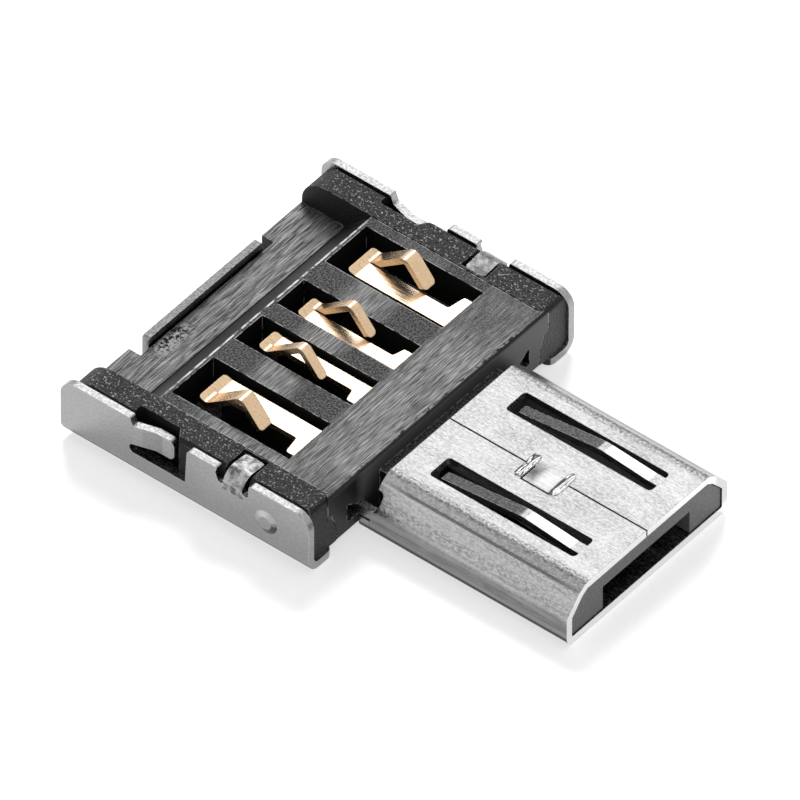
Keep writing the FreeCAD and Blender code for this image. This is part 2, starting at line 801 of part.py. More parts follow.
def cut_nooks(body):
    """Slots for the plug's two tongues, each open to a nook beside the plug."""
    gap = size.tongue_gap
    inner, outer = half_plug - size.sheet_gauge - gap, half_plug + size.nook_width
    low, slot_top = size.tongue_bottom - gap, size.tongue_top + gap
    nook = [
        (inner, low), (half_plug + size.nook_toe, low), (outer, low + size.overlap),
        (outer, size.nook_top), (half_plug + gap, slot_top), (inner, slot_top),
    ]
    cut(body, "nooks", "YZ", [nook, mirrored(nook)], -size.tongue_length - gap, MARGIN)


def make_contact(name, side, spring, pins):
    """One stamped strip: base, lanced arm, foot under the bar, and pins that reach the plug."""
    body = new_body(name)
    gauge = size.contact_gauge
    level = size.block_top - size.base_sink
    base = spring.base
    split = base + spring.base_width
    outer = split + spring.arm_width
    foot = outer + spring.foot_width
    web_end, web_start = (-size.web_rear, level + size.web_curl), (-size.bend_line, level)
    web = [web_end, (*web_start, size.bend_round), (-size.foot_front, level)]
    low, high = (base, foot) if side > 0 else (-foot, -base)
    pad(body, "base", "XZ", [strip(web, gauge)], low, high)
    plan = [
        (-size.web_rear, base, size.web_round), (-size.web_rear, outer, size.web_round),
        (-size.bend_line, outer),
        (-size.bend_line, split), (-size.foot_rear - size.foot_slope, split, size.foot_round),
        (-size.foot_rear, foot, size.foot_round), (-size.foot_front + MARGIN, foot),
        (-size.foot_front + MARGIN, base),
    ]
    frame = rectangle(-size.web_rear - MARGIN, base - MARGIN, -size.foot_front + 2 * MARGIN,
                      foot + MARGIN)
    outlines = [frame, plan]
    cut(body, "base_trim", "XY", outlines if side > 0 else [flipped(line) for line in outlines],
        level - MARGIN, level + MARGIN)
    arm = [
        ((web_end[0] + web_start[0]) / 2, (web_end[1] + web_start[1]) / 2),
        (*web_start, size.bend_round), (-size.kink, size.kink_height, size.kink_round),
        (-size.paddle_end, size.paddle_height),
    ]
    lanced = split + size.lance_gap
    low, high = (lanced, outer) if side > 0 else (-outer, -lanced)
    pad(body, "arm", "XZ", [strip(arm, gauge)], low, high)
    round_edges(body, "paddle_corners", size.paddle_round, lambda start, end: (
        near(start.y, end.y) and near(math.dist(start, end), gauge)
        and abs(start.x + size.paddle_end.value) < gauge.value))
    for number, place in enumerate(pins, start=1):
        add_pin(body, f"pin_{number}", side, base, split, level, place)
    return body


def add_pin(body, name, side, base, split, level, centre):
    """Run from a contact's base to one pin place in the plug's cavity."""
    gauge = size.contact_gauge
    low, high = centre - size.pin_width / 2, centre + size.pin_width / 2
    near_side, far_side = (base, split) if side > 0 else (-split, -base)
    fan_rear, fan_front = -size.foot_front - size.fan_overlap, -size.fan_front
    fan = [
        (fan_rear, near_side), (-size.foot_front, near_side), (fan_front, low),
        (fan_front + size.fan_run, low), (fan_front + size.fan_run, high), (fan_front, high),
        (-size.foot_front, far_side), (fan_rear, far_side),
    ]
    pad(body, name + "_fan", "XY", [fan], level - gauge, level)
    path = [
        (fan_front, level), (fan_front + size.fan_run, level, size.drop_round),
        (-size.drop_front, size.run_height, size.run_round),
        (size.nose_root, size.run_height, size.nose_back_round),
        (size.plug_length - size.nose_setback, size.nose_height, size.nose_round),
        (size.plug_length - size.nose_setback + size.nose_length,
         size.nose_height + size.nose_rise),
    ]
    pad(body, name, "XZ", [strip(path, gauge)], low, high)


def make_plug_insulator():
    """Moulding in the plug's mouth: a top bar over a cavity that is open to the tube's floor."""
    body = new_body("plug_insulator_moulding")
    section = offset_path(plug_section(), -size.sheet_gauge - size.insulator_gap, closed=True)
    front = size.plug_length - size.insulator_recess
    pad(body, "insulator", "YZ", [section], size.insulator_rear, front)
    cavity = rectangle(-size.cavity_width / 2, 0, size.cavity_width / 2, size.cavity_top)
    cut(body, "cavity", "YZ", [cavity], size.cavity_rear, size.plug_length + MARGIN)
    cut(body, "grooves", "YZ", [groove(centre) for centre in pin_row], size.nose_root,
        size.plug_length - size.groove_setback)
    side_room, end_room = size.finger_side_room, size.finger_end_room
    slot = rectangle(size.slot_rear - end_room, size.slot_inner - side_room, slot_front + end_room,
                     size.slot_inner + size.slot_width + side_room)
    floor = size.plug_height - size.finger_drop - size.sheet_gauge - size.finger_room
    cut(body, "finger_reliefs", "XY", [slot, flipped(slot)], floor, size.plug_height)
    return body


def groove(centre):
    half = size.pin_width / 2 + size.groove_room
    return rectangle(centre - half, size.cavity_top - size.groove_overlap, centre + half,
                     size.run_height + size.groove_room)


def without(label, moulding, tools):
    """A moulding less the metal that is moulded into it."""
    fused = doc.addObject("Part::MultiFuse", label + "_inserts")
    fused.Shapes = tools
    result = doc.addObject("Part::Cut", label)
    result.Base = moulding
    result.Tool = fused
    result.Label = label
    return result


shell = make_metal_shell()
carrier = make_carrier()
contacts = [
    make_contact("contact_1", 1, outer_spring, pin_row[4:]),
    make_contact("contact_2", 1, inner_spring, pin_row[3:4]),
    make_contact("contact_3", -1, inner_spring, pin_row[2:3]),
    make_contact("contact_4", -1, outer_spring, pin_row[:2]),
]
block = without("contact_block", make_contact_block(), contacts)
insulator = without("plug_insulator", make_plug_insulator(), contacts)
doc.recompute()

nodes = [shell, carrier, block, insulator, *contacts]
for item in doc.Objects:
    if "Invalid" in item.State or "Error" in item.State:
        raise RuntimeError(f"{item.Name} failed: {item.State}")
    if item.TypeId == "PartDesign::Pocket":
        removed = item.BaseFeature.Shape.Volume - item.Shape.Volume
        if removed < 1e-6:
            raise RuntimeError(f"{item.Name} cuts nothing")
for node in nodes:
    if node.Shape.isNull() or not node.Shape.isValid():
        raise RuntimeError(f"{node.Label} has no valid shape")

os.makedirs("parts", exist_ok=True)
for node in nodes:
    node.Shape.exportStep(f"parts/{node.Label}.step")
    print(node.Label, len(node.Shape.Solids), "solids", round(node.Shape.Volume, 3), "mm3")
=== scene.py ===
import math

import bmesh
import bpy
from mathutils import Matrix, Vector, noise


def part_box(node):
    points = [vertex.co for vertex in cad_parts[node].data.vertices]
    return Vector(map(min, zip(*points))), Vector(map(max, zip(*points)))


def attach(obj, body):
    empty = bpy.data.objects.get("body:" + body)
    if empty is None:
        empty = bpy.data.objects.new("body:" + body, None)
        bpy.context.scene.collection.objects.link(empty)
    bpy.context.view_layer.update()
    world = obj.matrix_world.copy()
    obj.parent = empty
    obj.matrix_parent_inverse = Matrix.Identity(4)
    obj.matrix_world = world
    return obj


MM = 0.001

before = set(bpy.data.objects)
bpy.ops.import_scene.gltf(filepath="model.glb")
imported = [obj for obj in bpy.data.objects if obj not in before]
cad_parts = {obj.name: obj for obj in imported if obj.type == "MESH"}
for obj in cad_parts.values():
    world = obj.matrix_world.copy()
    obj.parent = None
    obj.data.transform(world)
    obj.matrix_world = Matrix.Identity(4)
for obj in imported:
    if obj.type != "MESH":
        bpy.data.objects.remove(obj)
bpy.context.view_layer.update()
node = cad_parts

# Places that the finishes and marks are laid out from, in millimetres.
SHELL_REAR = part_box("metal_shell")[0].x / MM
PLUG_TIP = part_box("metal_shell")[1].x / MM
BLOCK_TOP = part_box("contact_block")[1].z / MM
INSULATOR_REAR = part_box("plug_insulator")[0].x / MM
SEAM_TOP = 1.79

# Cosine between an edge's true and rounded normals, from no mark to a full mark.
EDGE_START, EDGE_FULL = 0.995, 0.9
# Span of the noise over which the broken line of an edge comes in.
EDGE_FADE = 0.08

# Half the floor's side and its drop below the object in metres, then its glow where it is seen.
FLOOR_HALF = 0.6
FLOOR_DROP = 0.02 * MM
FLOOR_GLOW = 0.58
# Strength of the surroundings where they light the object.
AMBIENT = 0.35

# Photograph's side in pixels, and the camera's sensor in millimetres.
PHOTO_SIDE = 800
SENSOR = 36


def add_node(tree, kind, **settings):
    """Adds a shader node and sets its sockets or properties by name."""
    made = tree.nodes.new(kind)
    for key, value in settings.items():
        label = key.replace("_", " ").title()
        if label in made.inputs:
            made.inputs[label].default_value = value
        else:
            setattr(made, key, value)
    return made


def new_group(name, inputs, outputs):
    """Starts a node group; returns its tree, its input node and its output node."""
    tree = bpy.data.node_groups.new(name, "ShaderNodeTree")
    for label, value in inputs.items():
        kind = "NodeSocketVector" if isinstance(value, tuple) else "NodeSocketFloat"
        socket = tree.interface.new_socket(label, in_out="INPUT", socket_type=kind)
        socket.default_value = value
    for label in outputs:
        tree.interface.new_socket(label, in_out="OUTPUT", socket_type="NodeSocketFloat")
    return tree, tree.nodes.new("NodeGroupInput"), tree.nodes.new("NodeGroupOutput")


def place_group(tree, group, **settings):
    """Places a node group in a material and sets its inputs."""
    made = tree.nodes.new("ShaderNodeGroup")
    made.node_tree = group
    for key, value in settings.items():
        made.inputs[key.replace("_", " ").capitalize()].default_value = value
    return made


def make_streaks():
    """Fine parallel lines: long along one axis, narrow across it."""
    tree, given, out = new_group(
        "streaks", {"Lines per mm": (1.0, 1.0, 1.0), "Low": 0.4, "High": 0.6, "Detail": 3.0},
        ["Mask"])
    place = add_node(tree, "ShaderNodeTexCoord")
    in_mm = add_node(tree, "ShaderNodeVectorMath", operation="MULTIPLY")
    to_mm = add_node(tree, "ShaderNodeVectorMath", operation="SCALE")
    to_mm.inputs["Scale"].default_value = 1 / MM
    ripple = add_node(tree, "ShaderNodeTexNoise", scale=1.0, roughness=0.6)
    span = add_node(tree, "ShaderNodeMapRange")
    link = tree.links.new
    link(place.outputs["Object"], to_mm.inputs[0])
    link(to_mm.outputs[0], in_mm.inputs[0])
    link(given.outputs["Lines per mm"], in_mm.inputs[1])
    link(in_mm.outputs[0], ripple.inputs["Vector"])
    link(given.outputs["Detail"], ripple.inputs["Detail"])
    link(ripple.outputs["Fac"], span.inputs["Value"])
    link(given.outputs["Low"], span.inputs["From Min"])
    link(given.outputs["High"], span.inputs["From Max"])
    link(span.outputs["Result"], out.inputs["Mask"])
    return tree


def make_facing():
    """One where the surface faces a given way, zero elsewhere."""
    tree, given, out = new_group("facing", {"Way": (0.0, 0.0, 1.0), "Low": 0.6, "High": 0.9}, ["Mask"])
    surface = add_node(tree, "ShaderNodeNewGeometry")
    dot = add_node(tree, "ShaderNodeVectorMath", operation="DOT_PRODUCT")
    span = add_node(tree, "ShaderNodeMapRange")
    link = tree.links.new
    link(surface.outputs["Normal"], dot.inputs[0])
    link(given.outputs["Way"], dot.inputs[1])
    link(dot.outputs["Value"], span.inputs["Value"])
    link(given.outputs["Low"], span.inputs["From Min"])
    link(given.outputs["High"], span.inputs["From Max"])
    link(span.outputs["Result"], out.inputs["Mask"])
    return tree


def make_edges():
    """A broken line along convex edges: painted highlight, on the mouldings partly wear."""
    tree, given, out = new_group("edges", {"Width": 0.00004, "Broken": 0.5, "Grain": 4.0}, ["Mask"])
    surface = add_node(tree, "ShaderNodeNewGeometry")
    bevel = add_node(tree, "ShaderNodeBevel", samples=6)
    dot = add_node(tree, "ShaderNodeVectorMath", operation="DOT_PRODUCT")
    span = add_node(tree, "ShaderNodeMapRange", from_min=EDGE_START, from_max=EDGE_FULL)
    place = add_node(tree, "ShaderNodeTexCoord")
    to_mm = add_node(tree, "ShaderNodeVectorMath", operation="SCALE")
    to_mm.inputs["Scale"].default_value = 1 / MM
    ripple = add_node(tree, "ShaderNodeTexNoise", detail=2.0)
    keep = add_node(tree, "ShaderNodeMapRange")
    high = add_node(tree, "ShaderNodeMath", operation="ADD")
    high.inputs[1].default_value = EDGE_FADE
    both = add_node(tree, "ShaderNodeMath", operation="MULTIPLY")
    link = tree.links.new
    link(given.outputs["Width"], bevel.inputs["Radius"])
    link(surface.outputs["Normal"], dot.inputs[0])
    link(bevel.outputs["Normal"], dot.inputs[1])
    link(dot.outputs["Value"], span.inputs["Value"])
    link(place.outputs["Object"], to_mm.inputs[0])
    link(to_mm.outputs[0], ripple.inputs["Vector"])
    link(given.outputs["Grain"], ripple.inputs["Scale"])
    link(ripple.outputs["Fac"], keep.inputs["Value"])
    link(given.outputs["Broken"], keep.inputs["From Min"])
    link(given.outputs["Broken"], high.inputs[0])
    link(high.outputs[0], keep.inputs["From Max"])
    link(span.outputs["Result"], both.inputs[0])
    link(keep.outputs["Result"], both.inputs[1])
    link(both.outputs[0], out.inputs["Mask"])
    return tree


def make_within():
    """One inside a box given by its centre and half size in millimetres."""
    tree, given, out = new_group(
        "within", {"Centre": (0.0, 0.0, 0.0), "Half size": (1.0, 1.0, 1.0), "Soft": 0.1}, ["Mask"])
    place = add_node(tree, "ShaderNodeTexCoord")
    to_mm = add_node(tree, "ShaderNodeVectorMath", operation="SCALE")
    to_mm.inputs["Scale"].default_value = 1 / MM
    away = add_node(tree, "ShaderNodeVectorMath", operation="SUBTRACT")
    size = add_node(tree, "ShaderNodeVectorMath", operation="ABSOLUTE")
    share = add_node(tree, "ShaderNodeVectorMath", operation="DIVIDE")
    parts = add_node(tree, "ShaderNodeSeparateXYZ")
    first = add_node(tree, "ShaderNodeMath", operation="MAXIMUM")
    second = add_node(tree, "ShaderNodeMath", operation="MAXIMUM")
    start = add_node(tree, "ShaderNodeMath", operation="SUBTRACT")
    start.inputs[0].default_value = 1.0
    span = add_node(tree, "ShaderNodeMapRange", from_min=1.0)
    link = tree.links.new
    link(place.outputs["Object"], to_mm.inputs[0])
    link(to_mm.outputs[0], away.inputs[0])
    link(given.outputs["Centre"], away.inputs[1])
    link(away.outputs[0], size.inputs[0])
    link(size.outputs[0], share.inputs[0])
    link(given.outputs["Half size"], share.inputs[1])
    link(share.outputs[0], parts.inputs[0])
    link(parts.outputs["X"], first.inputs[0])
    link(parts.outputs["Y"], first.inputs[1])
    link(first.outputs[0], second.inputs[0])
    link(parts.outputs["Z"], second.inputs[1])
    link(given.outputs["Soft"], start.inputs[1])
    link(second.outputs[0], span.inputs["Value"])
    link(start.outputs[0], span.inputs["From Max"])
    link(span.outputs["Result"], out.inputs["Mask"])
    return tree


STREAKS = make_streaks()
FACING = make_facing()
EDGE_HIGHLIGHTS = make_edges()
WITHIN = make_within()

# Painted shade and a painted highlight along each side spring's bend: centre and half size in
# millimetres, then grey.
SPRING_BEND_PAINTED_LIGHT = [
    ((-5.4, 0, 1.45), (0.3, 6, 0.36), 0.14),
    ((-4.95, 0, 1.45), (0.16, 6, 0.36), 0.5),
]
# Painted shade in the dent and a painted highlight beside the seam's lock: centre, half size, then
# grey.
SEAM_PAINTED_LIGHT = [
    ((3.45, -0.2, SEAM_TOP), (0.34, 0.5, 0.2), 0.08),
    ((3.95, -0.15, SEAM_TOP), (0.35, 0.5, 0.2), 0.45),
]
# Where the block's top was ground hardest: centre, half size and softness.
GROUND_BANDS = [
    ((-0.85, 0, BLOCK_TOP), (1.05, 5, 0.2), 0.3),
    ((-4.0, 0, BLOCK_TOP), (0.9, 5, 0.2), 0.6),
    ((-2.9, -4.4, BLOCK_TOP), (2.4, 0.32, 0.2), 0.6),
]
# Other places with a grey of their own, several of them painted light or shade as said where they are
# used: centre and half size in millimetres, then softness.
ZONES = {
    "side_dimples": ((-1.35, 0, 1.08), (0.5, 15, 0.5), 0.1),
    "rear_lip": ((SHELL_REAR + 0.28, 0, 1), (0.22, 2.5, 0.6), 0.1),
    "near_tab": ((-2.53, -5.1, 1.8), (0.38, 0.65, 0.42), 0.1),
    "far_tab": ((-2.53, 5.1, 1.8), (0.38, 0.65, 0.42), 0.1),
    # Band along the bottom edge that carries a painted contact shadow.
    "painted_shadow_band": ((0, 0, 0), (15, 10, 0.34), 0.2),
    "plug": ((PLUG_TIP - 3.3, 0, 0.9), (3.6, 3.6, 1.3), 0.02),
    "plug_corner": ((PLUG_TIP - 3.3, 0, 0.98), (3.5, 4, 0.15), 0.5),
    "plug_crease": ((PLUG_TIP - 3.3, 0, 1.63), (3.5, 4, 0.03), 0.4),
    "plug_roof": ((PLUG_TIP - 3.8, 0, 1.5), (4, 2.44, 0.5), 0.02),
    "far_rim": ((PLUG_TIP, 3.5, 1.1), (0.3, 0.7, 0.9), 0.3),
    "rear_strip": ((-7.7, 0, 1.05), (0.85, 4.6, 0.1), 0.1),
    "rough_patch": ((-7.82, -1.8, 1.05), (0.42, 0.95, 0.1), 0.6),
    "slab_front": ((0.4, 0, 1), (0.8, 6, 1.2), 0.1),
    "rail_near_end": ((0, -5, 1), (0.8, 1, 1.2), 0.1),
    "block_near_end": ((0, -4.3, 1), (0.8, 1.1, 1.2), 0.3),
    "scuffed_end": ((-1.1, 3.3, BLOCK_TOP), (1.2, 1.3, 0.2), 0.8),
    "rear_ridge": ((-5.98, 0, BLOCK_TOP), (0.045, 4.6, 0.06), 0.2),
    "front_edge": ((-0.1, 0, BLOCK_TOP - 0.03), (0.06, 4.6, 0.06), 0.3),
    "contact_tails": ((INSULATOR_REAR + 3.2, 0, 1), (3.2, 4, 1), 0.02),
}

# Marks that lock the plug's seam: place along X, and the seed of the uneven skin.
STAKES = {"stake_rear": (3.17, 3.1), "stake_front": (4.37, 8.4)}
STAKE_Y = -0.1
STAKE_HALF = (0.15, 0.5, 0.05)
# The uneven skin: how squared the lump is, then depth and scale of its swells and ridges.
SQUARING = 0.6
SWELL_DEPTH, SWELL_SCALE = 0.18, 1.7
RIDGE_DEPTH, RIDGE_SCALE_X, RIDGE_SCALE_Y = 0.5, 2.5, 4


def new_material(name, **settings):
    """A material with one Principled shader; returns it with its tree and shader."""
    material = bpy.data.materials.new(name)
    material.use_nodes = True
    tree = material.node_tree
    shader = tree.nodes["Principled BSDF"]
    for key, value in settings.items():
        label = {"specular_ior_level": "Specular IOR Level"}.get(key, key.replace("_", " ").title())
        shader.inputs[label].default_value = value
    return material, tree, shader


def mix_colour(tree, mask, low, high):
    """A colour that goes from low to high with the mask."""
    mix = add_node(tree, "ShaderNodeMix", data_type="RGBA")
    for socket, colour in ((mix.inputs[6], low), (mix.inputs[7], high)):
        if isinstance(colour, bpy.types.NodeSocket):
            tree.links.new(colour, socket)
        else:
            socket.default_value = (*colour, 1.0)
    tree.links.new(mask, mix.inputs[0])
    return mix.outputs[2]


def mix_value(tree, mask, low, high):
    """A number that goes from low to high with the mask."""
    mix = add_node(tree, "ShaderNodeMapRange", to_min=low, to_max=high)
    tree.links.new(mask, mix.inputs["Value"])
    return mix.outputs["Result"]


def multiply(tree, first, second):
    """Product of two masks, or of a mask and a number."""
    product = add_node(tree, "ShaderNodeMath", operation="MULTIPLY")
    for socket, factor in zip(product.inputs, (first, second)):
        if isinstance(factor, bpy.types.NodeSocket):
            tree.links.new(factor, socket)
        else:
            socket.default_value = factor
    return product.outputs[0]


def streaks(tree, lines_per_mm, low, high, detail=3.0):
    """Mask of noise with so many lines to the millimetre along each axis."""
    return place_group(tree, STREAKS, lines_per_mm=lines_per_mm, low=low, high=high,
                       detail=detail).outputs["Mask"]


def facing(tree, way, low, high):
    """Mask of the surface that faces a given way."""
    return place_group(tree, FACING, way=way, low=low, high=high).outputs["Mask"]


def within(tree, centre, half_size, soft):
    """Mask of a box, which fades out over the soft share of its half size."""
    return place_group(tree, WITHIN, centre=centre, half_size=half_size,
                       soft=soft).outputs["Mask"]


def zone(tree, name):
    """Mask of one of the named zones."""
    return within(tree, *ZONES[name])


def grey(level):
    """Red, green and blue of a plain grey."""
    return level, level, level


def round_corners(tree, radius_mm):
    """Normals that treat each sharp edge as slightly rounded."""
    return add_node(tree, "ShaderNodeBevel", samples=4, radius=radius_mm * MM).outputs["Normal"]


def raise_surface(tree, shader, height, depth_mm, normal=None):
    """Bump from a height mask, over the given normal where there is one."""
    bump = add_node(tree, "ShaderNodeBump", distance=depth_mm * MM)
    tree.links.new(height, bump.inputs["Height"])
    if normal:
        tree.links.new(normal, bump.inputs["Normal"])
    tree.links.new(bump.outputs["Normal"], shader.inputs["Normal"])


def make_shell_steel():
    """Nickel-plated sheet: satin sides, a plug with grain along X, painted highlights on cut edges,
    tops and rims, painted shade in bends, dents and creases, and a painted contact shadow.
    """
    material, tree, shader = new_material("shell_steel", metallic=1.0)
    grain = streaks(tree, (2.2, 20, 20), 0.34, 0.68)
    speckle = streaks(tree, (12, 15, 15), 0.36, 0.68)
    blotches = streaks(tree, (3.5, 3.5, 3.5), 0.4, 0.6)
    upward = facing(tree, (0, 0, 1), 0.75, 0.95)
    sides = mix_colour(tree, speckle, grey(0.3), grey(0.34))
    # Painted shade, then a painted highlight, across each side spring's bend.
    for centre, half_size, level in SPRING_BEND_PAINTED_LIGHT:
        sides = mix_colour(tree, within(tree, centre, half_size, 0.4), sides, grey(level))
    dimple = zone(tree, "side_dimples")
    # Painted shade on each dimple's lower front side and a painted highlight on its upper rear side.
    for way, level in (((0.7, 0, -0.7), 0.08), ((-0.7, 0, 0.7), 0.42)):
        flank = multiply(tree, facing(tree, way, 0.08, 0.25), dimple)
        sides = mix_colour(tree, flank, sides, grey(level))
    # Up-facing faces, the cut edges among them, take a speckled grey that runs lighter than the sides:
    # painted highlight.
    sides = mix_colour(tree, upward, sides, mix_colour(tree, speckle, grey(0.24), grey(0.5)))
    tube = plug_shades(tree, grain, speckle, upward)
    colour = mix_colour(tree, zone(tree, "plug"), sides, tube)
    # The rear lip takes a darker speckled grey than the rest of the sheet: painted shade.
    lip = mix_colour(tree, speckle, grey(0.1), grey(0.22))
    colour = mix_colour(tree, zone(tree, "rear_lip"), colour, lip)
    # Blotchy greys on the near crimp tab, lighter and darker than the sides, are painted light and
    # shade; the far tab takes darker greys as painted shade.
    near_tab_painted_light = mix_colour(tree, blotches, grey(0.1), grey(0.42))
    colour = mix_colour(tree, zone(tree, "near_tab"), colour, near_tab_painted_light)
    far_tab_painted_shade = mix_colour(tree, blotches, grey(0.12), grey(0.3))
    colour = mix_colour(tree, zone(tree, "far_tab"), colour, far_tab_painted_shade)
    # Painted highlights along the sheet's convex edges, broken by noise.
    edge = place_group(tree, EDGE_HIGHLIGHTS, broken=0.42, grain=6.0, width=0.00003).outputs["Mask"]
    colour = mix_colour(tree, multiply(tree, edge, 0.7), colour, grey(0.6))
    # A painted contact shadow: a near-black band on the side faces along the bottom of the wings and
    # the plug.
    for way in ((0, -1, 0), (0, 1, 0)):
        painted_contact_shadow = multiply(tree, facing(tree, way, 0.5, 0.65), zone(tree, "painted_shadow_band"))
        colour = mix_colour(tree, painted_contact_shadow, colour, grey(0.03))
    tree.links.new(colour, shader.inputs["Base Color"])
    tree.links.new(mix_value(tree, grain, 0.22, 0.32), shader.inputs["Roughness"])
    raise_surface(tree, shader, speckle, 0.003, round_corners(tree, 0.03))
    return material


def plug_shades(tree, grain, speckle, upward):
    """Greys of the plug: banded sides, shoulders in lighter greys as painted light, painted shade
    along the crease, a painted highlight on the front rim that is weaker at the far side, a speckled
    band at the lower corner, and a grained roof between them.
    """
    bands = streaks(tree, (0.1, 3.2, 3.2), 0.4, 0.6)
    weave = streaks(tree, (9, 19, 19), 0.36, 0.64, 1.0)
    side = mix_colour(tree, grain, grey(0.17), grey(0.27))
    side = mix_colour(tree, multiply(tree, bands, 0.5), side, grey(0.42))
    shoulder = mix_colour(tree, weave, grey(0.26), grey(0.5))
    shoulder = mix_colour(tree, multiply(tree, bands, 0.5), shoulder, grey(0.55))
    # Shoulders that face partly up take lighter greys than the sides: painted light.
    tube = mix_colour(tree, facing(tree, (0, 0, 1), 0.12, 0.4), side, shoulder)
    rough = mix_colour(tree, speckle, grey(0.04), grey(0.34))
    tube = mix_colour(tree, zone(tree, "plug_corner"), tube, rough)
    tube = mix_colour(tree, upward, tube, mix_colour(tree, speckle, grey(0.1), grey(0.42)))
    # Painted shade along the crease.
    tube = mix_colour(tree, zone(tree, "plug_crease"), tube, grey(0.06))
    roof = mix_colour(tree, upward, side, roof_shades(tree, grain, weave, speckle))
    tube = mix_colour(tree, zone(tree, "plug_roof"), tube, roof)
    # Front-facing faces take a near-white painted highlight, weaker at the far side.
    rim = mix_colour(tree, zone(tree, "far_rim"), grey(0.8), grey(0.55))
    return mix_colour(tree, facing(tree, (1, 0, 0), 0.7, 0.9), tube, rim)


def roof_shades(tree, grain, weave, speckle):
    """Greys of the plug's roof, painted shade and a painted highlight at its dented seam, and painted
    shade and a painted highlight on the rear and front halves of the fingers.
    """
    clouds = streaks(tree, (0.5, 1.2, 1.2), 0.36, 0.66)
    roof = mix_colour(tree, clouds, grey(0.24), grey(0.38))
    roof = mix_colour(tree, multiply(tree, grain, 0.35), roof, grey(0.18))
    roof = mix_colour(tree, multiply(tree, weave, 0.5), roof, grey(0.5))
    # Painted shade in the seam's dent and a painted highlight beside it.
    for centre, half_size, level in SEAM_PAINTED_LIGHT:
        roof = mix_colour(tree, within(tree, centre, half_size, 0.9), roof, grey(level))
    # Faces tilted back, the rear halves of the fingers, take painted shade; faces tilted forward, the
    # front halves, a painted highlight.
    back = facing(tree, (-1, 0, 0), 0.03, 0.06)
    roof = mix_colour(tree, back, roof, mix_colour(tree, speckle, grey(0.04), grey(0.11)))
    return mix_colour(tree, facing(tree, (1, 0, 0), 0.03, 0.06), roof, grey(0.8))


def make_grained_plastic():
    """Spark-eroded black moulding whose tops run lighter than its sides as painted light, with painted
    glints as pale dots on them, and a low strip that was brushed along Y.
    """
    material, tree, shader = new_material("grained_plastic", roughness=0.5, specular_ior_level=0.2)
    grain = streaks(tree, (15, 15, 15), 0.32, 0.72)
    glint_specks = streaks(tree, (17, 17, 17), 0.61, 0.69, 1.0)
    upward = facing(tree, (0, 0, 1), 0.8, 0.95)
    strip = multiply(tree, zone(tree, "rear_strip"), upward)
    # Tops take a lighter grained grey than the sides, and pale dots stand for glints: painted light.
    rail = mix_colour(tree, grain, grey(0.008), grey(0.07))
    rail = mix_colour(tree, glint_specks, rail, grey(0.42))
    colour = mix_colour(tree, upward, grey(0.012), rail)
    # The face the plug comes out of takes a lighter grey than the other sides: painted light.
    front = front_face(tree)
    colour = mix_colour(tree, front, colour, mix_colour(tree, grain, grey(0.07), grey(0.17)))
    # Its near end takes a darker grey: painted shade.
    near_end = multiply(tree, front, zone(tree, "rail_near_end"))
    colour = mix_colour(tree, near_end, colour, mix_colour(tree, grain, grey(0.02), grey(0.08)))
    # Pale broken lines along convex edges: partly wear, partly painted highlight.
    edge = place_group(tree, EDGE_HIGHLIGHTS, broken=0.46, grain=4.0).outputs["Mask"]
    colour = mix_colour(tree, edge, colour, grey(0.3))
    colour = mix_colour(tree, strip, colour, brushed(tree))
    patch = multiply(tree, zone(tree, "rough_patch"), upward)
    pits = mix_colour(tree, streaks(tree, (11, 11, 11), 0.44, 0.54), grey(0.004), grey(0.5))
    colour = mix_colour(tree, patch, colour, pits)
    tree.links.new(colour, shader.inputs["Base Color"])
    raise_surface(tree, shader, grain, 0.02, round_corners(tree, 0.03))
    return material


def front_face(tree):
    """One on the face that the plug comes out of."""
    return multiply(tree, facing(tree, (1, 0, 0), 0.8, 0.95), zone(tree, "slab_front"))


def brushed(tree):
    """Dark grey with fine broken streaks along Y."""
    fine = streaks(tree, (25, 1.0, 6), 0.34, 0.66, 1.0)
    coarse = streaks(tree, (2.2, 0.6, 1), 0.35, 0.7)
    bright = streaks(tree, (27, 1.4, 6), 0.52, 0.66, 1.0)
    dark = streaks(tree, (24, 1.7, 5), 0.56, 0.68, 1.0)
    colour = mix_colour(tree, fine, grey(0.05), grey(0.34))
    colour = mix_colour(tree, multiply(tree, coarse, 0.5), colour, grey(0.26))
    colour = mix_colour(tree, multiply(tree, bright, 0.7), colour, grey(0.6))
    return mix_colour(tree, multiply(tree, dark, 0.8), colour, grey(0.015))


